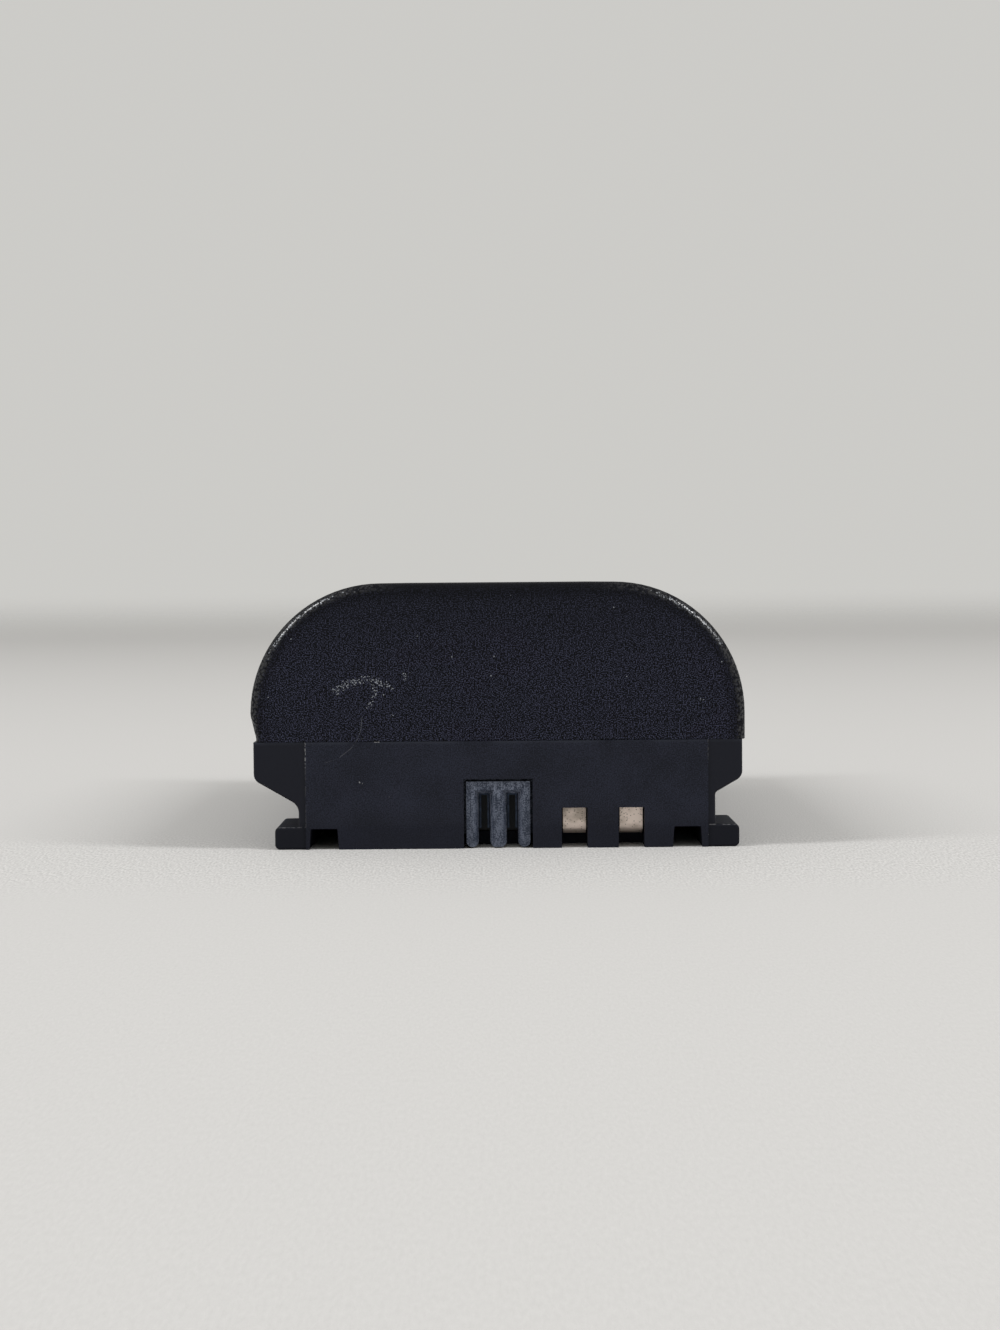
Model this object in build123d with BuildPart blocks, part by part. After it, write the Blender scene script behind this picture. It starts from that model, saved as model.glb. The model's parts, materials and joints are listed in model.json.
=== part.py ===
from build123d import *
import math
import os

# A slide-on camera battery: two round cells side by side in a welded two-piece case, with the contacts
# at one end. X runs across the case, Y from the contact end to the rear, and Z up from the surface that
# it stands on. Sizes are in millimetres, and the case grows outward from the cells.

# Cells
cell_diameter = 17.9
cell_length = 49.0
cell_gap = 0.05
can_edge = 0.5
crimp_edge = 0.9
crimp_width = 1.9
crimp_depth = 0.4
button_diameter = 6.0
button_height = 0.7
bead_offset = 3.0
bead_width = 1.6
bead_depth = 0.5
washer_thickness = 0.2
washer_inset = 0.6

# Room left around the cells
cradle_clearance = 0.05
roof_clearance = 0.15
side_clearance = 0.325
corner_clearance = 0.3
rear_clearance = 0.4
fit = 0.05

# Case walls
shell_wall = 0.85
front_wall = 1.2
end_wall = 1.0
floor_wall = 1.55
slope_wall = 0.4

# Upper shell: one long chamfer low on its left side keys the pack
seam_drop = 2.25
shell_edge = 0.8
seam_bevel = 0.05
key_depth = 0.42
key_land = 0.3
key_blend = 1.2
rib_width = 0.8
rib_depth = 1.4
rib_spacing = 7.0

# Base: sloped undercuts, a neck and rail feet, all a little off centre
base_step = 0.25
base_edge = 0.2
front_step = 0.08
slope_angle = 30.0
shoulder_round = 0.8
left_undercut = 3.45
left_neck_round = 1.0
right_undercut = 2.1
right_neck_round = 0.35
foot_reach = 1.85
foot_height = 1.75
foot_round = 0.4
front_foot_length = 7.0
rear_foot_length = 13.0
slide_inset = 0.55
left_web = 0.8
right_web = 1.0
groove_width = 2.3
groove_height = 1.6
groove_draft = 0.12
groove_stop = 4.0
groove_wall = 0.8
valley_width = 4.8
lead_channel = 0.2
bay_floor = 1.0
lip_height = 1.2
lip_gap = 0.55
lip_thickness = 0.6
panel_margin = 2.0
panel_front = 9.0
panel_rear = 7.0
panel_depth = 0.2
panel_round = 1.5
latch_width = 7.0
latch_length = 3.0
latch_depth = 1.2

# Terminal block: three prongs between two slots
terminal_width = 4.92
terminal_height = 5.16
terminal_lift = 0.1
terminal_recess = 0.2
terminal_length = 2.7
terminal_flange = 0.85
window_gap = 0.2
slot_pitch = 2.17
slot_width = 0.88
slot_top = 4.2
slot_flare = 0.3
flare_depth = 0.6
prong_round = 0.42
fork_leaf = 0.15
fork_length = 2.0
fork_height = 2.7

# Power contacts: formed strips behind two slots in the front wall
contact_x = 5.89
contact_pitch = 4.39
contact_width = 1.78
contact_thickness = 0.35
contact_low = 0.99
contact_bend = 0.75
contact_leg = 1.9
arm_bend = 0.4
arm_rise = 2.7
contact_slot_width = 2.0
contact_slot_height = 3.1
contact_slot_length = 3.4
seat_wall = 0.7

# Board, its parts, and the strips and sheets at the cell ends
board_setback = 2.35
board_thickness = 0.8
board_round = 0.8
chip_thickness = 0.9
chip_standoff = 0.1
chip_lead_reach = 0.8
chip_lead_width = 0.3
chip_lead_height = 0.4
chip_lead_pitch = 0.65
chip_row_height = 4.4
gauge_width = 6.4
guard_width = 3.0
mosfet_width = 3.0
passive_thickness = 0.7
resistor_width = 6.0
resistor_height = 3.2
fuse_width = 3.2
fuse_height = 1.6
capacitor_width = 1.6
capacitor_height = 0.8
part_gap = 0.4
tab_thickness = 0.15
tab_width = 5.0
tab_reach = 2.5
hook_gap = 0.2
hook_bend = 0.3
hook_length = 1.5
link_tongue = 1.8
weld_slit_width = 0.6
weld_slit_length = 3.0
lead_diameter = 0.8
sheet_thickness = 0.2
sheet_margin = 1.5
sheet_round = 2.0
notch_margin = 0.4
sensor_radius = 1.15
sensor_clearance = 0.1
sensor_setback = 1.7
sensor_lead_diameter = 0.3
sensor_lead_pitch = 1.0
cushion_width = 4.4
cushion_margin = 4.0

# Section of the case, worked out from the cells
cell_radius = cell_diameter / 2
cell_x = cell_radius + cell_gap / 2
cell_z = floor_wall + cradle_clearance + cell_radius
seam_z = cell_z - seam_drop
cradle_radius = cell_radius + cradle_clearance
half_width = cell_x + cell_radius + side_clearance + shell_wall
roof_z = cell_z + cell_radius + roof_clearance
top_z = roof_z + shell_wall
dome_radius = cell_radius + corner_clearance + shell_wall
dome_x = half_width - dome_radius
dome_z = top_z - dome_radius
base_half = half_width - base_step
slope_fall = math.tan(math.radians(slope_angle))
slope_offset = (cradle_radius + slope_wall) / math.cos(math.radians(slope_angle))
shoulder_z = cell_z - slope_offset + (base_half - cell_x) * slope_fall
neck_left = -base_half + left_undercut
neck_right = base_half - right_undercut
slide_left = neck_left + slide_inset
slide_right = neck_right - slide_inset
groove_left = neck_left + left_web
groove_right = neck_right - right_web
bay_left = groove_left + groove_width + groove_wall
bay_right = groove_right - groove_width - groove_wall
bay_x = (bay_left + bay_right) / 2
valley_drop = math.sqrt(cradle_radius**2 - (cell_x - valley_width / 2) ** 2)
valley_z = cell_z - valley_drop - lead_channel

# Stations along the case, from the contact end to the rear
stack_length = board_setback + board_thickness + 2 * (sheet_thickness + tab_thickness) + 3 * fit + cell_length
body_length = front_wall + stack_length + rear_clearance + end_wall
front_y = -body_length / 2
wall_y = front_y + front_wall
board_front_y = wall_y + board_setback
board_rear_y = board_front_y + board_thickness
front_sheet_y = board_rear_y + fit
tab_y = front_sheet_y + sheet_thickness + fit
cell_front_y = tab_y + tab_thickness
cell_rear_y = cell_front_y + cell_length
link_rear_y = cell_rear_y + tab_thickness
rear_sheet_y = link_rear_y + fit
inner_rear_y = rear_sheet_y + sheet_thickness + rear_clearance
rear_y = inner_rear_y + end_wall
inner_length = inner_rear_y - wall_y

# Heights of what stands on the board, from its lower edge up
board_bottom_z = bay_floor + fit
flange_top_z = terminal_height + terminal_flange
arm_z = contact_slot_height + arm_rise
terminal_top_z = max(flange_top_z, arm_z + contact_thickness / 2)
low_row_z = terminal_top_z + part_gap + fuse_height / 2
high_row_z = low_row_z + fuse_height / 2 + 2 * part_gap + chip_lead_reach + chip_row_height / 2
board_top_z = high_row_z + chip_row_height / 2 + chip_lead_reach + part_gap + hook_length


def across(y):
    """Plane across the case at y, with X to the right and Z up, whose normal points at the contact end."""
    return Plane.XZ.offset(-y)


def block(left, right, front, rear, bottom, top, mode=Mode.ADD):
    """Box between six planes, joined to or cut from the piece being built."""
    with Locations(((left + right) / 2, (front + rear) / 2, (bottom + top) / 2)):
        Box(right - left, rear - front, top - bottom, mode=mode)


def finish(piece, name):
    """Name a finished piece and write it out."""
    piece.part.label = name
    export_step(piece.part, f"parts/{name}.step")


os.makedirs("parts", exist_ok=True)

# Upper shell: a domed trough with both end walls and two ribs that hold the board down
with BuildPart() as upper_shell:
    with BuildSketch(across(rear_y)) as shell_section:
        with BuildLine():
            Line((half_width, seam_z), (half_width, dome_z))
            CenterArc((dome_x, dome_z), dome_radius, 0, 90)
            Line((dome_x, top_z), (-dome_x, top_z))
            CenterArc((-dome_x, dome_z), dome_radius, 90, 90)
            key_top = (-half_width, dome_z)
            key_foot = (-half_width + key_depth, seam_z + key_land)
            Polyline(key_top, key_foot, (key_foot[0], seam_z), (half_width, seam_z))
        make_face()
        key_corners = shell_section.vertices().filter_by(
            lambda v: v.X < key_foot[0] + fit and v.Y > seam_z + key_land / 2
        )
        fillet(key_corners, radius=key_blend)
    extrude(amount=body_length)
    end_faces = upper_shell.faces().filter_by(Axis.Y)
    rim_edges = end_faces.edges().filter_by(lambda e: e.center().Z > seam_z + fit)
    fillet(rim_edges, radius=shell_edge)
    with BuildSketch(across(inner_rear_y)):
        with BuildLine():
            inner_half = half_width - shell_wall
            inner_radius = dome_radius - shell_wall
            Line((inner_half, seam_z - shell_wall), (inner_half, dome_z))
            CenterArc((dome_x, dome_z), inner_radius, 0, 90)
            Line((dome_x, roof_z), (-dome_x, roof_z))
            CenterArc((-dome_x, dome_z), inner_radius, 90, 90)
            Polyline(
                (-inner_half, dome_z),
                (-inner_half, seam_z - shell_wall),
                (inner_half, seam_z - shell_wall),
            )
        make_face()
    extrude(amount=inner_length, mode=Mode.SUBTRACT)
    seam_edges = upper_shell.faces().sort_by(Axis.Z)[0].outer_wire().edges()
    chamfer(seam_edges, length=seam_bevel)
    for rib_x in (bay_x - rib_spacing / 2, bay_x + rib_spacing / 2):
        block(
            rib_x - rib_width / 2,
            rib_x + rib_width / 2,
            board_rear_y - rib_depth,
            board_rear_y,
            board_top_z + fit,
            roof_z + shell_wall / 2,
        )
finish(upper_shell, "upper_shell")

# Base: cell cradles above, rails and grooves below, and the contact openings at the front
with BuildPart() as base_shell:
    with BuildSketch(across(rear_y)):
        with BuildLine():
            FilletPolyline(
                (neck_left, 0),
                (neck_right, 0),
                (neck_right, shoulder_z - right_undercut * slope_fall),
                (base_half, shoulder_z),
                (base_half, seam_z),
                (-base_half, seam_z),
                (-base_half, shoulder_z),
                (neck_left, shoulder_z - left_undercut * slope_fall),
                radius=[0, 0, right_neck_round, shoulder_round, 0, 0, shoulder_round, left_neck_round],
                close=True,
            )
        make_face()
    extrude(amount=body_length)
    for side, neck_x in ((-1, neck_left), (1, neck_right)):
        for foot_end, foot_length in ((front_y + front_foot_length, front_foot_length), (rear_y, rear_foot_length)):
            with BuildSketch(across(foot_end)) as foot:
                with Locations((neck_x + side * (foot_reach - slide_inset) / 2, foot_height / 2)):
                    Rectangle(foot_reach + slide_inset, foot_height)
                outer_corners = foot.vertices().sort_by(Axis.X)[::side][-2:]
                fillet(outer_corners, radius=foot_round)
            extrude(amount=foot_length)
    # The contact end steps back a little at both sides, where the mould's slides meet it
    for step_left, step_right in ((-half_width, slide_left), (slide_right, half_width)):
        block(
            step_left,
            step_right,
            front_y - front_step,
            front_y + front_step,
            -fit,
            seam_z + fit,
            mode=Mode.SUBTRACT,
        )
    end_faces = base_shell.faces().filter_by(Axis.Y).filter_by(
        lambda f: not front_y + front_wall < f.center().Y < rear_y - end_wall
    )
    rim_edges = end_faces.edges().filter_by(
        lambda e: fit < e.center().Z < seam_z - fit and not neck_left + fit < e.center().X < neck_right - fit
    )
    fillet(rim_edges, radius=base_edge)
    # Cradles for the two cells, and the channel between them for the sense lead
    with BuildSketch(across(inner_rear_y)):
        with Locations((-cell_x, cell_z), (cell_x, cell_z)):
            Circle(cradle_radius)
        with Locations((0, (valley_z + cell_z) / 2)):
            Rectangle(valley_width, cell_z - valley_z)
    extrude(amount=inner_length, mode=Mode.SUBTRACT)
    # Bay for the board behind the front wall
    block(bay_left, bay_right, wall_y, cell_front_y, bay_floor, cell_z, mode=Mode.SUBTRACT)
    # Lip that lines up the upper shell
    lip_bottom = terminal_top_z + lip_gap
    block(bay_left, bay_right, wall_y, wall_y + lip_thickness, lip_bottom, seam_z)
    block(bay_left, bay_right, wall_y + fit, wall_y + lip_thickness, lip_bottom, seam_z + lip_height)
    # Long grooves under the rails, closed at the rear
    for groove_start in (groove_left, groove_right - groove_width):
        groove_end = groove_start + groove_width
        with BuildSketch(across(rear_y - groove_stop)):
            with BuildLine():
                Polyline(
                    (groove_start, 0),
                    (groove_end, 0),
                    (groove_end - groove_draft, groove_height),
                    (groove_start + groove_draft, groove_height),
                    close=True,
                )
            make_face()
        extrude(amount=body_length - groove_stop, mode=Mode.SUBTRACT)
    # Terminal window and contact slots, open to the front and below
    window_half = terminal_width / 2 + window_gap
    window_rear = front_y + terminal_recess + terminal_length + window_gap
    block(
        -window_half,
        window_half,
        front_y - front_wall,
        window_rear,
        -bay_floor,
        terminal_height + window_gap,
        mode=Mode.SUBTRACT,
    )
    for slot_x in (contact_x, contact_x + contact_pitch):
        slot_half = contact_slot_width / 2
        block(
            slot_x - slot_half,
            slot_x + slot_half,
            front_y - front_wall,
            front_y + contact_slot_length,
            -bay_floor,
            contact_slot_height,
            mode=Mode.SUBTRACT,
        )
        seat_half = contact_width / 2 + fit
        block(
            slot_x - seat_half,
            slot_x + seat_half,
            front_y + seat_wall,
            wall_y,
            0,
            arm_z + contact_thickness / 2 + fit,
            mode=Mode.SUBTRACT,
        )
    # Shallow panel underneath, and the notch that a latch drops into
    with BuildSketch(Plane.XY):
        panel_left = bay_left + panel_margin
        panel_right = bay_right - panel_margin
        panel_start = front_y + panel_front
        panel_end = rear_y - panel_rear
        with Locations(((panel_left + panel_right) / 2, (panel_start + panel_end) / 2)):
            RectangleRounded(panel_right - panel_left, panel_end - panel_start, panel_round)
    extrude(amount=panel_depth, mode=Mode.SUBTRACT)
    block(
        bay_x - latch_width / 2,
        bay_x + latch_width / 2,
        rear_y - latch_length,
        rear_y + end_wall,
        -latch_depth,
        latch_depth,
        mode=Mode.SUBTRACT,
    )
finish(base_shell, "base_shell")

# Terminal block: a comb that fills the window, with a wider back that stops it from falling out
with BuildPart() as terminal_block:
    comb_front = front_y + terminal_recess
    with BuildSketch(across(comb_front + terminal_length)) as comb:
        with Locations((0, (terminal_lift + terminal_height) / 2)):
            Rectangle(terminal_width, terminal_height - terminal_lift)
        with Locations((-slot_pitch / 2, slot_top / 2), (slot_pitch / 2, slot_top / 2)):
            Rectangle(slot_width, slot_top, mode=Mode.SUBTRACT)
        prong_ends = comb.vertices().group_by(Axis.Y)[0]
        fillet(prong_ends, radius=prong_round)
    extrude(amount=terminal_length)
    flange_half = terminal_width / 2 + terminal_flange
    block(-flange_half, flange_half, wall_y + fit, board_front_y, board_bottom_z, flange_top_z)
    for slot_x in (-slot_pitch / 2, slot_pitch / 2):
        block(
            slot_x - slot_width / 2,
            slot_x + slot_width / 2,
            wall_y,
            board_front_y,
            terminal_lift,
            slot_top,
            mode=Mode.SUBTRACT,
        )
    # The slots flare towards the contact end
    with BuildSketch(across(comb_front + flare_depth)):
        with Locations((-slot_pitch / 2, slot_top / 2), (slot_pitch / 2, slot_top / 2)):
            Rectangle(slot_width, slot_top)
    flare_angle = math.degrees(math.atan2(slot_flare, flare_depth))
    extrude(amount=flare_depth, taper=-flare_angle, mode=Mode.SUBTRACT)
finish(terminal_block, "terminal_block")

# Spring channels in the terminal block's slots: two leaves under a bridge, standing out from the board
for side, fork_name in ((-1, "signal_contact_left"), (1, "signal_contact_right")):
    with BuildPart() as signal_contact:
        fork_x = side * slot_pitch / 2
        fork_width = slot_width - 2 * fit
        fork_z = slot_top - fit - fork_height / 2
        with BuildSketch(across(board_front_y)):
            with Locations((fork_x, fork_z)):
                Rectangle(fork_width, fork_height)
            with Locations((fork_x, fork_z - fork_leaf)):
                Rectangle(fork_width - 2 * fork_leaf, fork_height, mode=Mode.SUBTRACT)
        extrude(amount=fork_length)
    finish(signal_contact, fork_name)

# Power contacts: a strip that rises behind its slot, curls under at the foot and reaches back to the board
for order, contact_name in enumerate(("negative_contact", "positive_contact")):
    with BuildPart() as power_contact:
        with BuildSketch(Plane.YZ.offset(contact_x + order * contact_pitch)):
            with BuildLine():
                leaf_y = front_y + seat_wall + fit + contact_thickness / 2
                foot_z = contact_low + contact_thickness / 2
                FilletPolyline(
                    (leaf_y + contact_leg, foot_z),
                    (leaf_y, foot_z),
                    (leaf_y, arm_z),
                    (board_front_y, arm_z),
                    radius=[contact_bend, arm_bend],
                )
            trace(line_width=contact_thickness)
        extrude(amount=contact_width / 2, both=True)
    finish(power_contact, contact_name)

# Cells: drawn cans with a bead below the crimp and a raised button, one each way round
for side, cell_name in ((-1, "cell_left"), (1, "cell_right")):
    negative_y = cell_rear_y if side < 0 else cell_front_y
    shoulder = cell_length - button_height
    bead = shoulder - bead_offset
    crimp_radius = cell_radius - crimp_width
    cap = shoulder - crimp_depth
    with BuildPart() as cell:
        with BuildSketch(Plane((side * cell_x, negative_y, cell_z), x_dir=(1, 0, 0), z_dir=(0, 0, side))):
            with BuildLine():
                Polyline(
                    (0, 0),
                    (cell_radius - can_edge, 0),
                    (cell_radius, can_edge),
                    (cell_radius, bead - bead_width / 2),
                    (cell_radius - bead_depth, bead),
                    (cell_radius, bead + bead_width / 2),
                    (cell_radius, shoulder - crimp_edge),
                    (cell_radius - crimp_edge, shoulder),
                    (crimp_radius, shoulder),
                    (crimp_radius, cap),
                    (button_diameter / 2, cap),
                    (button_diameter / 2, cell_length),
                    (0, cell_length),
                    close=True,
                )
            make_face()
        revolve(axis=Axis((side * cell_x, 0, cell_z), (0, 1, 0)))
    finish(cell, cell_name)

    # Insulating ring that lies on the crimp round the button
    seat_y = negative_y + side * shoulder
    with BuildPart() as vent_washer:
        with BuildSketch(across(max(seat_y, seat_y + side * washer_thickness))):
            with Locations((side * cell_x, cell_z)):
                Circle(cell_radius - washer_inset)
                Circle(button_diameter / 2 + washer_inset, mode=Mode.SUBTRACT)
        extrude(amount=washer_thickness)
    finish(vent_washer, cell_name.replace("cell", "vent_washer"))

# Strip across both cells at the rear, with a tongue down to the sense lead
with BuildPart() as series_link:
    lead_z = valley_z + fit + lead_diameter / 2
    with BuildSketch(across(link_rear_y)):
        with Locations((0, cell_z)):
            Rectangle(2 * (cell_x + tab_reach), 2 * tab_reach)
        with Locations((0, (valley_z + fit + cell_z) / 2)):
            Rectangle(link_tongue, cell_z - valley_z - fit)
        with Locations((-cell_x, cell_z), (cell_x, cell_z)):
            Rectangle(weld_slit_width, weld_slit_length, mode=Mode.SUBTRACT)
    extrude(amount=tab_thickness)
finish(series_link, "series_link")

# Strips from the front ends of the cells, hooked over the top of the board
for side, tab_name in ((-1, "positive_tab"), (1, "negative_tab")):
    with BuildPart() as tab:
        with BuildSketch(Plane.YZ.offset(side * cell_x)):
            with BuildLine():
                weld_y = tab_y + tab_thickness / 2
                hook_y = board_front_y - tab_thickness / 2
                hook_z = board_top_z + hook_gap + tab_thickness / 2
                FilletPolyline(
                    (weld_y, cell_z - tab_reach),
                    (weld_y, hook_z),
                    (hook_y, hook_z),
                    (hook_y, board_top_z - hook_length),
                    radius=hook_bend,
                )
            trace(line_width=tab_thickness)
        extrude(amount=tab_width / 2, both=True)
    finish(tab, tab_name)

# Insulated wire in the channel between the cells, from the board to the link's tongue
with BuildPart() as sense_lead:
    with BuildSketch(across(cell_rear_y)):
        with Locations((0, lead_z)):
            Circle(lead_diameter / 2)
    extrude(amount=cell_rear_y - board_rear_y)
finish(sense_lead, "sense_lead")

# Circuit board, upright on the floor of the bay
board_left = bay_left + fit
board_right = bay_right - fit
with BuildPart() as protection_board:
    block(board_left, board_right, board_front_y, board_rear_y, board_bottom_z, board_top_z)
    fillet(protection_board.edges().filter_by(Axis.Y), radius=board_round)
finish(protection_board, "protection_board")

# Packaged chips in one row across the board, each with a row of leads above and below
chips = (
    ("gauge_controller", gauge_width),
    ("protection_controller", guard_width),
    ("charge_mosfet", mosfet_width),
    ("discharge_mosfet", mosfet_width),
)
row_left = board_left + part_gap
row_gap = (board_right - part_gap - row_left - sum(width for _, width in chips)) / (len(chips) - 1)
capacitor_places = []
for chip_name, chip_width in chips:
    chip_x = row_left + chip_width / 2
    lead_count = int((chip_width - chip_lead_width) / chip_lead_pitch)
    with BuildPart() as chip:
        block(
            chip_x - chip_width / 2,
            chip_x + chip_width / 2,
            board_front_y - chip_standoff - chip_thickness,
            board_front_y - chip_standoff,
            high_row_z - chip_row_height / 2,
            high_row_z + chip_row_height / 2,
        )
        with BuildSketch(across(board_front_y)):
            with Locations((chip_x, high_row_z)):
                with GridLocations(chip_lead_pitch, 0, lead_count, 1):
                    Rectangle(chip_lead_width, chip_row_height + 2 * chip_lead_reach)
        extrude(amount=chip_lead_height)
    finish(chip, chip_name)
    gap_x = row_left + chip_width + row_gap / 2
    capacitor_places += [(chip_x, low_row_z), (gap_x, low_row_z)]
    row_left += chip_width + row_gap

# Plain two-ended parts flat on the board
passive_front_y = board_front_y - passive_thickness
with BuildPart() as sense_resistor:
    resistor_left = board_left + part_gap
    block(
        resistor_left,
        resistor_left + resistor_width,
        passive_front_y,
        board_front_y,
        flange_top_z - resistor_height,
        flange_top_z,
    )
finish(sense_resistor, "sense_resistor")

# One capacitor below each chip and each gap in their row, short of the last chip, where the fuse is
with BuildPart() as chip_capacitors:
    with BuildSketch(across(board_front_y)):
        with Locations(*capacitor_places[:-3]):
            Rectangle(capacitor_width, capacitor_height)
    extrude(amount=passive_thickness)
finish(chip_capacitors, "chip_capacitors")

with BuildPart() as chip_fuse:
    fuse_right = board_right - part_gap
    block(
        fuse_right - fuse_width,
        fuse_right,
        passive_front_y,
        board_front_y,
        low_row_z - fuse_height / 2,
        low_row_z + fuse_height / 2,
    )
finish(chip_fuse, "chip_fuse")

# Temperature bead that nestles between the cells, with two leads to the board
sensor_y = cell_front_y + sensor_setback
sensor_rise = math.sqrt((cell_radius + sensor_clearance + sensor_radius) ** 2 - cell_x**2)
sensor_z = cell_z + sensor_rise
with BuildPart() as thermistor:
    with Locations((0, sensor_y, sensor_z)):
        Sphere(sensor_radius)
    with BuildSketch(across(sensor_y)):
        with Locations((0, sensor_z)):
            with GridLocations(sensor_lead_pitch, 0, 2, 1):
                Circle(sensor_lead_diameter / 2)
    extrude(amount=sensor_y - board_rear_y)
finish(thermistor, "thermistor")

# Paper sheets at both ends of the cells, the front one notched for the wire and the bead's leads
with BuildPart() as front_insulator:
    front_sheet_rear = front_sheet_y + sheet_thickness
    block(board_left, board_right, front_sheet_y, front_sheet_rear, board_bottom_z, board_top_z)
    lead_half = lead_diameter / 2 + notch_margin
    block(
        -lead_half,
        lead_half,
        front_sheet_y,
        front_sheet_rear,
        board_bottom_z,
        lead_z + lead_half,
        mode=Mode.SUBTRACT,
    )
    sensor_half = sensor_lead_pitch / 2 + sensor_lead_diameter / 2 + notch_margin
    block(
        -sensor_half,
        sensor_half,
        front_sheet_y,
        front_sheet_rear,
        sensor_z - sensor_half,
        board_top_z,
        mode=Mode.SUBTRACT,
    )
finish(front_insulator, "front_insulator")

with BuildPart() as rear_insulator:
    with BuildSketch(across(rear_sheet_y + sheet_thickness)):
        with Locations((0, cell_z)):
            RectangleRounded(
                2 * (cell_x + tab_reach + sheet_margin),
                2 * (tab_reach + sheet_margin),
                sheet_round,
            )
    extrude(amount=sheet_thickness)
finish(rear_insulator, "rear_insulator")

# Foam strip wedged between the cells under the roof
with BuildPart() as cushion_strip:
    cushion_half = cushion_width / 2
    cushion_rise = math.sqrt(cradle_radius**2 - (cell_x - cushion_half) ** 2)
    block(
        -cushion_half,
        cushion_half,
        sensor_y + sensor_radius + cushion_margin,
        cell_rear_y - cushion_margin,
        cell_z + cushion_rise,
        roof_z - fit,
    )
finish(cushion_strip, "cushion_strip")
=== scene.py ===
import json
import math
from functools import reduce

import bmesh
import bpy
from mathutils import Matrix, Vector


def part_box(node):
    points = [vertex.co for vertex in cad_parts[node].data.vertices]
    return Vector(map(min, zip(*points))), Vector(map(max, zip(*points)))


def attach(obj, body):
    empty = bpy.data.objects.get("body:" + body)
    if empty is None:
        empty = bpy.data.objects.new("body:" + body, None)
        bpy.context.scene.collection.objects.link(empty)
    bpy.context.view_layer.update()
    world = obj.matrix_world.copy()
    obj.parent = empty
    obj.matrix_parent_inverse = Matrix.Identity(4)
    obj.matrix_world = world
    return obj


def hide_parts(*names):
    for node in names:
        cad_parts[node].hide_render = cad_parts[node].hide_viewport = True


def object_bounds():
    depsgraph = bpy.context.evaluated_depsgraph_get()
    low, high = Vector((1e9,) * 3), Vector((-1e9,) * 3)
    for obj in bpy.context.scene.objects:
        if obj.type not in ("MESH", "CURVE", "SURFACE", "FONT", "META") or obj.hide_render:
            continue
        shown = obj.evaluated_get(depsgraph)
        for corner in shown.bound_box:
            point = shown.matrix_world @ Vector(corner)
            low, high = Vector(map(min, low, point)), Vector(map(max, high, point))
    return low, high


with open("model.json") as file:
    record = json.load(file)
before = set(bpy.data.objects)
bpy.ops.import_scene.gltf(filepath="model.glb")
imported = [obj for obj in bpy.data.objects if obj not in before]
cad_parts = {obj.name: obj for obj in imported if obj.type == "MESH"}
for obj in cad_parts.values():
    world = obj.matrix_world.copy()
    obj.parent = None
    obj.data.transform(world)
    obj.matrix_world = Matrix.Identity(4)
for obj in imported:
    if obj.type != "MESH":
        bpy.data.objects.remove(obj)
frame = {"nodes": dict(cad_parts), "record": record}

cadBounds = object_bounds()
mm = 0.001
metre = 1000  # in millimetres, the unit of the finishes


# Shader wiring: a Wire is one output socket, and sums on it add Math nodes

def findSocket(sockets, key):
    if isinstance(key, int):
        return sockets[key]
    return next(socket for socket in sockets if key in (socket.identifier, socket.name))


class Wire:
    def __init__(self, tree, socket):
        self.tree = tree
        self.socket = socket

    def node(self, kind, settings, inputs, output=0):
        made = self.tree.nodes.new(kind)
        for name, value in settings.items():
            setattr(made, name, value)
        for key, value in inputs.items():
            target = findSocket(made.inputs, key)
            if isinstance(value, Wire):
                self.tree.links.new(value.socket, target)
            else:
                target.default_value = value
        return Wire(self.tree, findSocket(made.outputs, output))

    def twin(self, output):  # another output of the same node
        return Wire(self.tree, findSocket(self.socket.node.outputs, output))

    def maths(self, operation, *values):
        return self.node("ShaderNodeMath", {"operation": operation}, dict(enumerate(values)))

    def __add__(self, other):
        return self.maths("ADD", self, other)

    def __sub__(self, other):
        return self.maths("SUBTRACT", self, other)

    def __rsub__(self, other):
        return self.maths("SUBTRACT", other, self)

    def __mul__(self, other):
        return self.maths("MULTIPLY", self, other)

    def __truediv__(self, other):
        return self.maths("DIVIDE", self, other)

    def __rtruediv__(self, other):
        return self.maths("DIVIDE", other, self)

    def __lt__(self, other):
        return self.maths("LESS_THAN", self, other)

    def __gt__(self, other):
        return self.maths("GREATER_THAN", self, other)

    def __abs__(self):
        return self.maths("ABSOLUTE", self)

    def least(self, other):
        return self.maths("MINIMUM", self, other)

    def most(self, other):
        return self.maths("MAXIMUM", self, other)

    def length(self, other):  # long side of a right triangle
        return self.maths("SQRT", self * self + other * other)

    def fade(self, start, end):  # 0 at start, 1 at end, eased
        limits = {"Value": self, "From Min": start, "From Max": end}
        return self.node("ShaderNodeMapRange", {"interpolation_type": "SMOOTHSTEP"}, limits)

    def mix(self, low, high):  # colour between low and high
        ends = {"Factor_Float": self, "A_Color": low, "B_Color": high}
        return self.node("ShaderNodeMix", {"data_type": "RGBA"}, ends, "Result_Color")

    def axis(self, name):
        return self.node("ShaderNodeSeparateXYZ", {}, {"Vector": self}, name)

    def noise(self, size, detail=2.0, stretch=(1, 1, 1)):  # 0 to 1, in lumps of about that size
        spread = self.node("ShaderNodeVectorMath", {"operation": "MULTIPLY"}, {0: self, 1: stretch})
        return self.node("ShaderNodeTexNoise", {}, {"Vector": spread, "Scale": 1 / size, "Detail": detail})

    def specks(self, spots, kept):  # round dots, of which only the share kept shows
        spacing = spots["spacing"]
        radius = spots["radius"]
        cells = self.node("ShaderNodeTexVoronoi", {}, {"Vector": self, "Scale": 1 / spacing})
        lot = self.node("ShaderNodeSeparateColor", {}, {"Color": cells.twin("Color")})
        return (cells * spacing).fade(radius, radius / 2) * (lot < kept)

    def patches(self, spots):  # where dots are strong and where they are faint
        return self.noise(spots["patch"]).fade(*spots["patchRange"])


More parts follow.
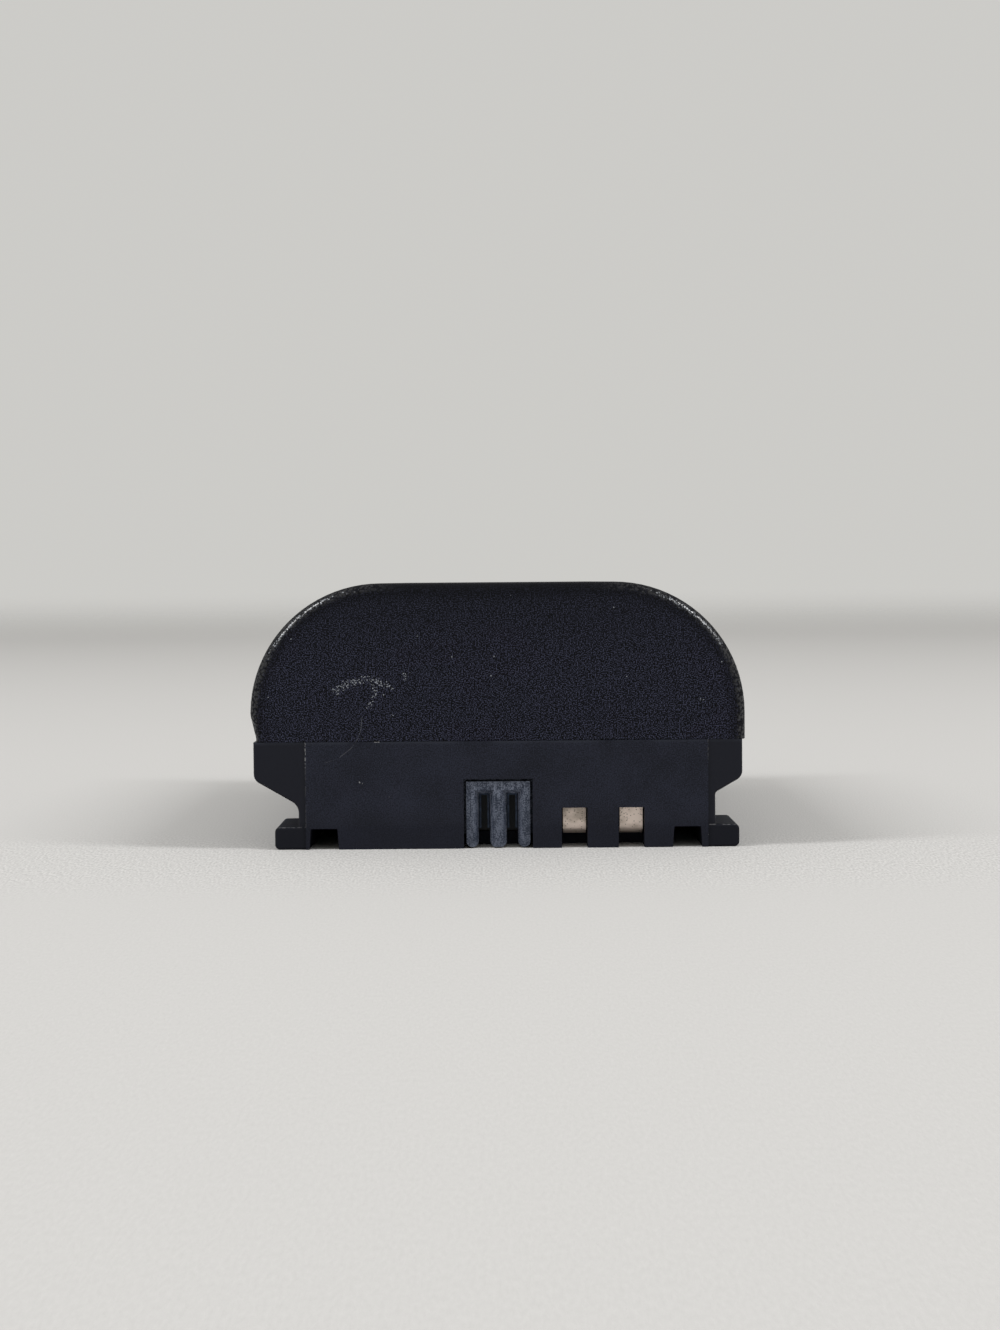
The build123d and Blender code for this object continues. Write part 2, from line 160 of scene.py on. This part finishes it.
def startFinish(name):  # a material, its shader, and the place on the object in millimetres
    material = bpy.data.materials.new(name)
    material.use_nodes = True
    tree = material.node_tree
    tree.nodes.clear()
    shader = tree.nodes.new("ShaderNodeBsdfPrincipled")
    output = tree.nodes.new("ShaderNodeOutputMaterial")
    tree.links.new(shader.outputs["BSDF"], output.inputs["Surface"])
    coordinates = Wire(tree, tree.nodes.new("ShaderNodeTexCoord").outputs["Object"])
    scaled = {0: coordinates, 1: (1 / mm, 1 / mm, 1 / mm)}
    place = coordinates.node("ShaderNodeVectorMath", {"operation": "MULTIPLY"}, scaled)
    return material, shader, place


def feed(shader, name, value):
    if isinstance(value, Wire):
        value.tree.links.new(value.socket, shader.inputs[name])
    else:
        shader.inputs[name].default_value = value


def addRelief(shader, height, depth):  # bump of that depth in millimetres
    bump = height.node("ShaderNodeBump", {}, {"Height": height, "Distance": depth * mm, "Strength": 1.0})
    feed(shader, "Normal", bump)


# Marks of use on the contact end. Each has a bent line in millimetres across and up, the distances
# from that line where the mark begins and where it is full, and a strength.

shellLow, shellHigh = (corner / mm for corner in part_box("upper_shell"))
frontY = cadBounds[0].y / mm
seamZ = shellLow.z

marks = {
    "scuff": {
        "line": [(-12.5, 12.2), (-11.5, 12.8), (-10.3, 13.1), (-9.3, 12.95), (-8.3, 12.55)],
        "range": (0.42, 0.05),
        "strength": 1.0,
    },
    "scuffTail": {
        "line": [(-9.5, 12.8), (-9.5, 11.9), (-9.85, 11.1)],
        "range": (0.34, 0.05),
        "strength": 0.8,
    },
    "scratch": {
        "line": [
            (-10.44, 10.18), (-10.53, 9.25), (-10.77, 8.56),
            (-11.32, 7.79), (-12.33, 7.02), (-13.26, 6.72),
        ],
        "range": (0.04, 0),
        "strength": 1.0,
    },
    "nick": {"line": [(-7.15, 13.5), (-7.0, 13.1)], "range": (0.22, 0.02), "strength": 1.0},
    "smallNick": {"line": [(-8.2, 10.35), (-8.05, 10.25)], "range": (0.15, 0.02), "strength": 1.0},
    "smudge": {"line": [(15.7, 11.4), (15.9, 11.3)], "range": (0.30, 0.02), "strength": 0.6},
    "seamNick": {"line": [(-9.6, 8.3), (-9.15, 8.32)], "range": (0.09, 0.03), "strength": 1.0},
    "baseNick": {"line": [(-10.65, 5.2), (-10.5, 5.1)], "range": (0.10, 0.03), "strength": 1.0},
}
markDepth = 0.2  # how far back from the front plane marks reach
scratchDepth = 0.3
scratchGaps = {"patch": 0.5, "patchRange": (0.35, 0.6)}


def strokeDistance(x, z, points):  # how far a place is from a bent line
    nearest = None
    for (startX, startZ), (endX, endZ) in zip(points, points[1:]):
        runX = endX - startX
        runZ = endZ - startZ
        along = ((x - startX) * runX + (z - startZ) * runZ) / (runX**2 + runZ**2)
        along = along.most(0).least(1)
        distance = (x - startX - along * runX).length(z - startZ - along * runZ)
        nearest = nearest.least(distance) if nearest else distance
    return nearest


def markMask(name, x, z):
    mark = marks[name]
    return strokeDistance(x, z, mark["line"]).fade(*mark["range"]) * mark["strength"]


def strongest(masks):
    return reduce(Wire.most, masks)


def scratchMask(place, x, y, z):
    return markMask("scratch", x, z) * place.patches(scratchGaps) * (y < frontY + scratchDepth)


# Finish of the shell. Ranges named inner and outer count from the outline of its end.

shellLook = {
    "dark": (0.0001, 0.0001, 0.0006, 1),
    "light": (0.0450, 0.0486, 0.0830, 1),
    # painted shade on the rounded rim, partly also the smoother worn grain there
    "rim": (0.0006, 0.0008, 0.0018, 1),
    # painted shade colour near the top of the end
    "upper": (0.0050, 0.0056, 0.0090, 1),
    # pale colour of real wear, also used for painted highlight grains
    "wearAndHighlight": (0.31, 0.33, 0.36, 1),
    "dust": (0.30, 0.30, 0.29, 1),
    "grain": 0.074,
    "grainDetail": 1.5,
    "grainShare": 0.9,
    "pebble": 0.1628,
    "pebbleDetail": 1.0,
    "pebbleShare": 0.1,
    "stretch": (0.7, 0.7, 1),
    "toneRange": (0.49, 0.60),
    "depth": 0.032,
    "cornerRadius": 10.1,
    "endStart": 1.2,
    "endFull": 0.5,
    "rimRange": (1.7, 0.1),
    "rimShadeShare": 0.85,
    "rimSmoothing": 0.3,
    "rimGloss": 0.12,
    "topShadeFrom": 13.0,
    "topShadeShare": 0.45,
    "scratchShare": 0.25,
    "roughness": 0.62,
    "specular": 0.10,
    "tips": {
        "marks": ("scuff", "scuffTail", "nick", "smallNick", "smudge"),
        "spacing": 0.12,
        "radius": 0.062,
        "onMarks": 0.75,
        "stray": 0.0008,
        "patch": 0.3,
        "patchRange": (0.1, 0.6),
    },
    "motes": {
        "spacing": 0.5,
        "radius": 0.048,
        "seamReach": 2.0,
        "aboveSeam": 0.2,
        "innerRange": (1.1, 0.8),
        "outerRange": (0.3, 0.6),
        "underTop": 0.12,
        "stray": 0.01,
        "patch": 3.0,
        "patchRange": (0.35, 0.7),
        "share": 0.5,
    },
    # painted highlight: pale grains on the rim shoulders
    "highlightBeads": {
        "spacing": 0.16,
        "radius": 0.085,
        "kept": 0.8,
        "acrossRange": (10.2, 14.0),
        "heightRange": (14.0, 17.0),
        "innerRange": (0.54, 0.38),
        "outerRange": (0.16, 0.28),
        "share": 0.9,
    },
    "polish": {
        "spacing": 0.20,
        "radius": 0.145,
        "kept": 0.85,
        "acrossRange": (7.0, 11.0),
        "innerRange": (0.8, 0.4),
        "outerRange": (0.04, 0.18),
        "roughness": 0.18,
    },
}


def rimDistance(x, z):  # how far inside the outline of the shell's end
    radius = shellLook["cornerRadius"]
    acrossX = abs(x) - (shellHigh.x - radius)
    acrossZ = z - (shellHigh.z - radius)
    corner = acrossX.most(0).length(acrossZ.most(0))
    inside = acrossX.most(acrossZ).least(0)
    return radius - corner - inside


def bandMask(inset, look):  # a band that follows the outline
    return inset.fade(*look["innerRange"]) * inset.fade(*look["outerRange"])


def shellFinish():
    look = shellLook
    tips, motes, highlightBeads, polish = (look[name] for name in ("tips", "motes", "highlightBeads", "polish"))
    material, shader, place = startFinish("grainedShell")
    x, y, z = (place.axis(name) for name in "XYZ")
    onEnd = abs(y).fade(-frontY - look["endStart"], -frontY - look["endFull"])
    # Wear, dust and the painted highlight grains show on the contact end only
    nearEndMask = onEnd * (y < 0)  # wear shows on the contact end only
    inset = rimDistance(x, z)
    rim = inset.fade(*look["rimRange"]) * onEnd

    grain = place.noise(look["grain"], look["grainDetail"], look["stretch"])
    pebbles = place.noise(look["pebble"], look["pebbleDetail"], look["stretch"])
    height = grain * look["grainShare"] + pebbles * look["pebbleShare"]
    # Grain tone: the plastic's own grain, and partly painted shade in the pits and painted light on the
    # tips of the relief
    colour = height.fade(*look["toneRange"]).mix(look["dark"], look["light"])
    # Painted shade: the end darkens towards the top of the case
    upper = z.fade(look["topShadeFrom"], shellHigh.z) * look["topShadeShare"]
    colour = upper.mix(colour, look["upper"])
    # Painted shade: darker band along the rounded rim of the end, partly also the smoother worn grain
    # there
    colour = (rim * look["rimShadeShare"]).mix(colour, look["rim"])

    # Tips of the grain rubbed pale, thick along the scuff
    rubbed = strongest(markMask(name, x, z) for name in tips["marks"]) * (y < frontY + markDepth)
    paleTips = place.specks(tips, rubbed * tips["onMarks"] + tips["stray"])
    colour = (paleTips * place.patches(tips)).mix(colour, look["wearAndHighlight"])
    colour = (scratchMask(place, x, y, z) * look["scratchShare"]).mix(colour, look["wearAndHighlight"])

    # Dust, thicker just above the seam and under the top edge
    aboveSeam = z.fade(seamZ + motes["seamReach"], seamZ) * motes["aboveSeam"]
    underTop = bandMask(inset, motes) * nearEndMask * motes["underTop"]
    dust = place.specks(motes, aboveSeam + underTop + motes["stray"])
    colour = (dust * place.patches(motes) * motes["share"]).mix(colour, look["dust"])

    # Painted highlight: pale grains along the rim at the shoulders, where the lamps' highlight falls; the
    # polished grains there also get a real gloss coat
    highlightShoulder = abs(x).fade(*highlightBeads["acrossRange"]) * z.fade(*highlightBeads["heightRange"]) * nearEndMask
    paintedHighlightBeads = place.specks(highlightBeads, highlightShoulder * highlightBeads["kept"]) * bandMask(inset, highlightBeads)
    colour = (paintedHighlightBeads * highlightBeads["share"]).mix(colour, look["wearAndHighlight"])
    edge = bandMask(inset, polish) * abs(x).fade(*polish["acrossRange"]) * nearEndMask
    feed(shader, "Base Color", colour)
    feed(shader, "Roughness", look["roughness"] - rim * look["rimGloss"])
    feed(shader, "Specular IOR Level", look["specular"])
    feed(shader, "Coat Weight", place.specks(polish, polish["kept"]) * edge)
    feed(shader, "Coat Roughness", polish["roughness"])
    addRelief(shader, height * (1 - rim * look["rimSmoothing"]), look["depth"])
    return material


# Finish of the base. Heights are from the floor.

baseLook = {
    "dark": (0.0028, 0.0038, 0.0092, 1),
    "light": (0.0168, 0.0196, 0.0348, 1),
    # darker tone of the side sections, also used as painted shade towards the bottom
    "slide": (0.0060, 0.0070, 0.0130, 1),
    # painted shade colour on the feet
    "foot": (0.0034, 0.0042, 0.0085, 1),
    # painted highlight colour along the base's top edge under the seam
    "paintedSeamHighlight": (0.0210, 0.0245, 0.0360, 1),
    "wearAndHighlight": (0.30, 0.30, 0.31, 1),
    "dust": (0.26, 0.26, 0.25, 1),
    "grain": 0.09,
    "grainShare": 0.75,
    "cloud": 2.6,
    "cloudDetail": 3.0,
    "cloudShare": 0.25,
    "toneRange": (0.36, 0.64),
    "depth": 0.008,
    "leftStep": {"x": -14.85, "width": (0.075, 0.02), "heights": (5.8, 7.0), "upper": 0.5, "whole": 0.08},
    "rightStep": {"x": 16.2, "width": (0.06, 0.02), "heights": (6.0, 7.6), "upper": 0.15, "whole": 0.0},
    "stepDepth": 1.0,
    "lowShadeRange": (4.0, 0.5),
    "lowShadeShare": 0.6,
    "footRange": (2.4, 1.7),
    "footShare": 0.8,
    "footTop": 1.72,
    "footEdge": (0.06, 0.02),
    "footEdgeShare": 0.3,
    "seamWidth": 0.3,
    "seamRange": (0.3, 0.6),
    "seamHighlightShare": 0.8,
    "chip": 0.22,
    "chipRange": (0.42, 0.58),
    "nicks": ("seamNick", "baseNick"),
    "scratchShare": 0.2,
    "roughness": 0.46,
    "cloudRoughness": 0.12,
    "footRoughness": 0.2,
    "footRoughRange": (2.2, 1.6),
    "specular": 0.2,
    "motes": {
        "spacing": 0.6,
        "radius": 0.055,
        "seamReach": 1.2,
        "belowSeam": 0.2,
        "stray": 0.03,
        "patch": 3.0,
        "patchRange": (0.35, 0.7),
        "share": 0.8,
    },
}


def stepEdge(x, z, step):  # worn line down a step, stronger near its top
    strength = z.fade(*step["heights"]) * step["upper"] + step["whole"]
    return abs(x - step["x"]).fade(*step["width"]) * strength * (z > baseLook["footTop"])


def baseFinish():
    look = baseLook
    leftStep, rightStep, motes = look["leftStep"], look["rightStep"], look["motes"]
    material, shader, place = startFinish("satinBase")
    x, y, z = (place.axis(name) for name in "XYZ")
    grain = place.noise(look["grain"])
    clouds = place.noise(look["cloud"], look["cloudDetail"])
    tone = grain * look["grainShare"] + clouds * look["cloudShare"]
    colour = tone.fade(*look["toneRange"]).mix(look["dark"], look["light"])
    outside = (x < leftStep["x"]).most(x > rightStep["x"]) * (y < frontY + look["stepDepth"])
    # Side sections outside the steps are a darker tone; the darkening towards the bottom is painted shade
    colour = outside.most(z.fade(*look["lowShadeRange"]) * look["lowShadeShare"]).mix(colour, look["slide"])
    # Painted shade: the fronts of the feet darker
    colour = (outside * z.fade(*look["footRange"]) * look["footShare"]).mix(colour, look["foot"])
    # Painted highlight: a lighter line along the top edge of the base just under the seam
    paintedSeamHighlight = z.fade(seamZ - look["seamWidth"], seamZ) * clouds.fade(*look["seamRange"])
    colour = (paintedSeamHighlight * look["seamHighlightShare"]).mix(colour, look["paintedSeamHighlight"])

    # Worn edges: the steps in the contact end and nicks. The pale line along the top of the fronts of the
    # feet is a painted highlight
    footEdge = abs(z - look["footTop"]).fade(*look["footEdge"]) * outside * look["footEdgeShare"]
    edges = [stepEdge(x, z, leftStep), stepEdge(x, z, rightStep), footEdge]
    edges += [markMask(name, x, z) for name in look["nicks"]]
    chips = place.noise(look["chip"]).fade(*look["chipRange"])
    wearAndHighlight = strongest(edges) * chips * (y < frontY + markDepth)
    colour = wearAndHighlight.mix(colour, look["wearAndHighlight"])
    colour = (scratchMask(place, x, y, z) * look["scratchShare"]).mix(colour, look["wearAndHighlight"])

    belowSeam = z.fade(seamZ - motes["seamReach"], seamZ) * motes["belowSeam"]
    dust = place.specks(motes, belowSeam + motes["stray"])
    colour = (dust * place.patches(motes) * motes["share"]).mix(colour, look["dust"])

    dulled = clouds * look["cloudRoughness"] + z.fade(*look["footRoughRange"]) * look["footRoughness"]
    feed(shader, "Base Color", colour)
    feed(shader, "Roughness", dulled + look["roughness"])
    feed(shader, "Specular IOR Level", look["specular"])
    addRelief(shader, grain, look["depth"])
    return material


terminalLook = {
    "dark": (0.024, 0.031, 0.050, 1),
    "light": (0.150, 0.169, 0.222, 1),
    "grain": 0.11,
    "grainShare": 0.6,
    "streak": 0.35,
    "streakDetail": 2.0,
    "streakStretch": (1, 1, 0.35),
    "streakShare": 0.4,
    "toneRange": (0.41, 0.60),
    # painted shade towards the floor
    "lowShadeRange": (4.8, 2.0),
    "lowShadeShare": 0.35,
    "roughness": 0.58,
    "streakRoughness": 0.15,
    "specular": 0.25,
    "depth": 0.006,
}


def terminalFinish():
    look = terminalLook
    material, shader, place = startFinish("mattTerminal")
    grain = place.noise(look["grain"])
    streaks = place.noise(look["streak"], look["streakDetail"], look["streakStretch"])
    tone = grain * look["grainShare"] + streaks * look["streakShare"]
    colour = tone.fade(*look["toneRange"]).mix(look["dark"], look["light"])
    # Painted shade: darker towards the floor
    colour = (place.axis("Z").fade(*look["lowShadeRange"]) * look["lowShadeShare"]).mix(colour, look["dark"])
    feed(shader, "Base Color", colour)
    feed(shader, "Roughness", streaks * look["streakRoughness"] + look["roughness"])
    feed(shader, "Specular IOR Level", look["specular"])
    addRelief(shader, grain, look["depth"])
    return material


contactLook = {
    "plating": (0.76, 0.65, 0.58, 1),
    "dull": (0.57, 0.49, 0.42, 1),
    "tarnish": (0.14, 0.12, 0.09, 1),
    "cloud": 0.7,
    "cloudDetail": 3.0,
    "dullHeights": (1.5, 2.4),
    "dullAcross": (8.5, 7.5),
    "dullAdded": 0.3,
    "dullRange": (0.45, 0.85),
    "metalLoss": 0.35,
    "roughness": 0.42,
    "dullRoughness": 0.2,
    "dent": 0.12,
    "depth": 0.003,
    "spots": {
        "spacing": 0.14,
        "radius": 0.058,
        "heights": (1.3, 2.1),
        "cloudRange": (0.2, 0.6),
        "clouded": 0.6,
        "stray": 0.05,
        "share": 0.8,
    },
}


def contactFinish():
    look = contactLook
    spots = look["spots"]
    material, shader, place = startFinish("tarnishedPlating")
    x, z = place.axis("X"), place.axis("Z")
    clouds = place.noise(look["cloud"], look["cloudDetail"])
    leftTop = z.fade(*look["dullHeights"]) * x.fade(*look["dullAcross"])  # duller top of the left contact
    dulled = (clouds + leftTop * look["dullAdded"]).fade(*look["dullRange"])
    colour = dulled.mix(look["plating"], look["dull"])
    clouded = z.fade(*spots["heights"]) * clouds.fade(*spots["cloudRange"]) * spots["clouded"]
    tarnish = place.specks(spots, clouded + spots["stray"])
    colour = (tarnish * spots["share"]).mix(colour, look["tarnish"])
    feed(shader, "Base Color", colour)
    feed(shader, "Metallic", 1 - dulled * look["metalLoss"])
    feed(shader, "Roughness", dulled * look["dullRoughness"] + look["roughness"])
    addRelief(shader, place.noise(look["dent"]), look["depth"])
    return material


# Plain finishes, of what is sealed inside and of the springs deep in the slots: two tones, lump
# size, roughness, metal and bump depth

innerLooks = {
    "cell_can": ((0.52, 0.52, 0.50, 1), (0.64, 0.64, 0.62, 1), 0.8, 0.30, 1.0, 0.002),
    "insulating_paper": ((0.50, 0.55, 0.50, 1), (0.64, 0.68, 0.63, 1), 0.3, 0.80, 0.0, 0.010),
    "nickel_strip": ((0.52, 0.51, 0.48, 1), (0.66, 0.65, 0.62, 1), 0.4, 0.36, 1.0, 0.003),
    "lead_sleeve": ((0.36, 0.03, 0.02, 1), (0.48, 0.05, 0.04, 1), 0.5, 0.45, 0.0, 0.002),
    "board_laminate": ((0.003, 0.008, 0.013, 1), (0.005, 0.012, 0.019, 1), 0.6, 0.50, 0.0, 0.004),
    "chip_plastic": ((0.016, 0.016, 0.017, 1), (0.030, 0.030, 0.031, 1), 0.15, 0.60, 0.0, 0.004),
    "fuse_ceramic": ((0.50, 0.50, 0.45, 1), (0.60, 0.60, 0.56, 1), 0.3, 0.50, 0.0, 0.003),
    "capacitor_ceramic": ((0.34, 0.23, 0.13, 1), (0.44, 0.31, 0.19, 1), 0.3, 0.50, 0.0, 0.003),
    "bead_resin": ((0.035, 0.020, 0.014, 1), (0.060, 0.036, 0.026, 1), 0.5, 0.25, 0.0, 0.003),
    # painted shade: the springs deep in the slots are coloured dark and bluish
    "painted_shade_spring": ((0.022, 0.032, 0.054, 1), (0.050, 0.070, 0.110, 1), 0.3, 0.55, 0.7, 0.003),
    "foam": ((0.035, 0.035, 0.036, 1), (0.070, 0.070, 0.072, 1), 0.25, 0.90, 0.0, 0.050),
}
mottleLook = {"detail": 3.0, "toneRange": (0.35, 0.65), "roughSpread": 0.1}


def innerFinish(slotName):
    low, high, lump, roughness, metal, depth = innerLooks[slotName]
    spread = mottleLook["roughSpread"]
    material, shader, place = startFinish(slotName)
    mottle = place.noise(lump, mottleLook["detail"])
    feed(shader, "Base Color", mottle.fade(*mottleLook["toneRange"]).mix(low, high))
    feed(shader, "Roughness", mottle * spread + (roughness - spread / 2))
    feed(shader, "Metallic", metal)
    addRelief(shader, mottle, depth)
    return material


finishes = {slotName: innerFinish(slotName) for slotName in innerLooks}
finishes["shell_plastic"] = shellFinish()
finishes["base_plastic"] = baseFinish()
finishes["terminal_plastic"] = terminalFinish()
finishes["contact_metal"] = contactFinish()
print("finishes made:", len(finishes))

slotOf = {part["node"]: part["material_slot"] for part in frame["record"]["subparts"]}
# The springs have the contacts' slot, but are coloured dark and bluish as painted shade of the deep slots
for nodeName, node in frame["nodes"].items():
    node.data.materials.clear()
    finishName = "painted_shade_spring" if nodeName.startswith("signal_contact") else slotOf[nodeName]
    node.data.materials.append(finishes[finishName])


# Pieces in view get smooth curved faces and crisp edges

skin = {
    "pieces": {
        "upper_shell": "shell_cover",
        "base_shell": "rail_base",
        "terminal_block": "terminal_comb",
        "positive_contact": "positive_strip",
        "negative_contact": "negative_strip",
    },
    "mergeReach": 0.0005 * mm,
    "flatAngle": math.radians(0.4),
    "creaseAngle": math.radians(24),
}


def smoothCopy(nodeName, pieceName):
    mesh = frame["nodes"][nodeName].data.copy()
    piece = bpy.data.objects.new(pieceName, mesh)
    bpy.context.scene.collection.objects.link(piece)
    shape = bmesh.new()
    shape.from_mesh(mesh)
    bmesh.ops.remove_doubles(shape, verts=shape.verts, dist=skin["mergeReach"])
    bmesh.ops.dissolve_limit(shape, angle_limit=skin["flatAngle"], verts=shape.verts, edges=shape.edges)
    for face in shape.faces:
        face.smooth = True
    for edge in shape.edges:
        edge.smooth = len(edge.link_faces) == 2 and edge.calc_face_angle() < skin["creaseAngle"]
    shape.to_mesh(mesh)
    shape.free()
    if "custom_normal" in mesh.attributes:
        mesh.attributes.remove(mesh.attributes["custom_normal"])
    evenShading = piece.modifiers.new("evenShading", "WEIGHTED_NORMAL")
    evenShading.keep_sharp = True
    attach(piece, "root")
    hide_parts(nodeName)
    return piece


for nodeName, pieceName in skin["pieces"].items():
    piece = smoothCopy(nodeName, pieceName)
    print("smoothed:", pieceName, len(piece.data.polygons), "faces")


# Floor: paper grain shows in the strip before the case that is in focus

floorLook = {
    "radius": 6.0,  # in metres
    "segments": 128,
    "fadeStart": 620,
    "fadeEnd": 5900,
    "dark": (0.500, 0.493, 0.483, 1),
    "light": (0.702, 0.693, 0.681, 1),
    "grain": 0.16,
    "grainDetail": 2.0,
    "stretch": (1, 0.25, 1),
    "depth": 0.02,
    "sharpFrom": -58,
    "sharpTo": -40,
    "sharpBehind": 15,
    "sharpContrast": 2.2,
    "contrast": 0.35,
    "roughness": 0.9,
    "specular": 0.1,
}
middle = 0.5  # of noise, and between the floor's two tones


def layFloor():
    look = floorLook
    mesh = bpy.data.meshes.new("floor")
    shape = bmesh.new()
    bmesh.ops.create_circle(shape, cap_ends=True, segments=look["segments"], radius=look["radius"])
    shape.to_mesh(mesh)
    shape.free()
    floor = bpy.data.objects.new("floor", mesh)
    bpy.context.scene.collection.objects.link(floor)
    material, shader, place = startFinish("paleFloor")
    x, y = place.axis("X"), place.axis("Y")
    grain = place.noise(look["grain"], look["grainDetail"], look["stretch"])
    sharp = y.fade(look["sharpFrom"], look["sharpTo"]) * y.fade(frontY + look["sharpBehind"], frontY)
    tone = (grain - middle) * (sharp * look["sharpContrast"] + look["contrast"]) + middle
    feed(shader, "Base Color", tone.mix(look["dark"], look["light"]))
    feed(shader, "Roughness", look["roughness"])
    feed(shader, "Specular IOR Level", look["specular"])
    addRelief(shader, grain, look["depth"])
    # The far floor melts into the backdrop
    nearness = metre / x.length(y)
    reach = nearness.fade(metre / look["fadeStart"], metre / look["fadeEnd"])
    clear = reach.node("ShaderNodeBsdfTransparent", {}, {})
    surface = Wire(reach.tree, shader.outputs["BSDF"])
    blend = reach.node("ShaderNodeMixShader", {}, {0: reach, 1: surface, 2: clear})
    output = next(n for n in reach.tree.nodes if n.type == "OUTPUT_MATERIAL")
    reach.tree.links.new(blend.socket, output.inputs["Surface"])
    mesh.materials.append(material)


# Light: two soft lamps, and a room a little darker overhead

lighting = {
    "backdrop": (0.606, 0.600, 0.577, 1),
    "ceiling": (0.540, 0.535, 0.520, 1),
    "ceilingRange": (0.2, 0.9),
    "roomStrength": 1.0,
    "lampSide": 0.66,
    "lampFront": 0.26,
    "lampHeight": 0.70,
    "lampAlong": 0.19,
    "lampAround": 0.46,
    "lampPower": 4.1,
}


def hangLamp(name, side):
    look = lighting
    lamp = bpy.data.lights.new(name, "AREA")
    lamp.shape = "RECTANGLE"
    lamp.size = look["lampAlong"]
    lamp.size_y = look["lampAround"]
    lamp.energy = look["lampPower"]
    holder = bpy.data.objects.new(name, lamp)
    bpy.context.scene.collection.objects.link(holder)
    holder.location = (side * look["lampSide"], -look["lampFront"], look["lampHeight"])
    aim = -Vector(holder.location)
    holder.rotation_euler = aim.to_track_quat("-Z", "Y").to_euler()


def lightRoom():
    world = bpy.data.worlds.new("softRoom")
    world.use_nodes = True
    tree = world.node_tree
    room = next(n for n in tree.nodes if n.type == "BACKGROUND")
    heading = Wire(tree, tree.nodes.new("ShaderNodeTexCoord").outputs["Generated"])
    overhead = heading.axis("Z").fade(*lighting["ceilingRange"])
    feed(room, "Color", overhead.mix(lighting["backdrop"], lighting["ceiling"]))
    feed(room, "Strength", lighting["roomStrength"])
    bpy.context.scene.world = world


layFloor()
hangLamp("leftLamp", -1)
hangLamp("rightLamp", 1)
lightRoom()
bpy.context.scene.view_settings.view_transform = "Standard"
print("floor and lamps placed")


# Camera: straight at the contact end, just above the top of the case

view = {
    "reach": 180 * mm,
    "eyeHeight": 20.6 * mm,
    "aimX": 0.22 * mm,
    "aimHeight": 14.15 * mm,
    "pixelsPerMetre": 13003,
    "pixelsHigh": 1330,
    "sensor": 36.0,
    "roll": 0.00785,
    "clipStart": 0.01,
}


def placeCamera():
    frontFace = frontY * mm
    eye = Vector((view["aimX"], frontFace - view["reach"], view["eyeHeight"]))
    aim = Vector((view["aimX"], frontFace, view["aimHeight"]))
    camera = bpy.data.cameras.new("contactEndView")
    camera.sensor_width = view["sensor"]
    camera.lens = view["pixelsPerMetre"] * (aim - eye).length * view["sensor"] / view["pixelsHigh"]
    camera.clip_start = view["clipStart"]
    holder = bpy.data.objects.new("contactEndView", camera)
    bpy.context.scene.collection.objects.link(holder)
    facing = (aim - eye).to_track_quat("-Z", "Y").to_matrix().to_4x4()
    holder.matrix_world = Matrix.Translation(eye) @ facing @ Matrix.Rotation(-view["roll"], 4, "Z")
    bpy.context.scene.camera = holder


placeCamera()
print("camera placed")
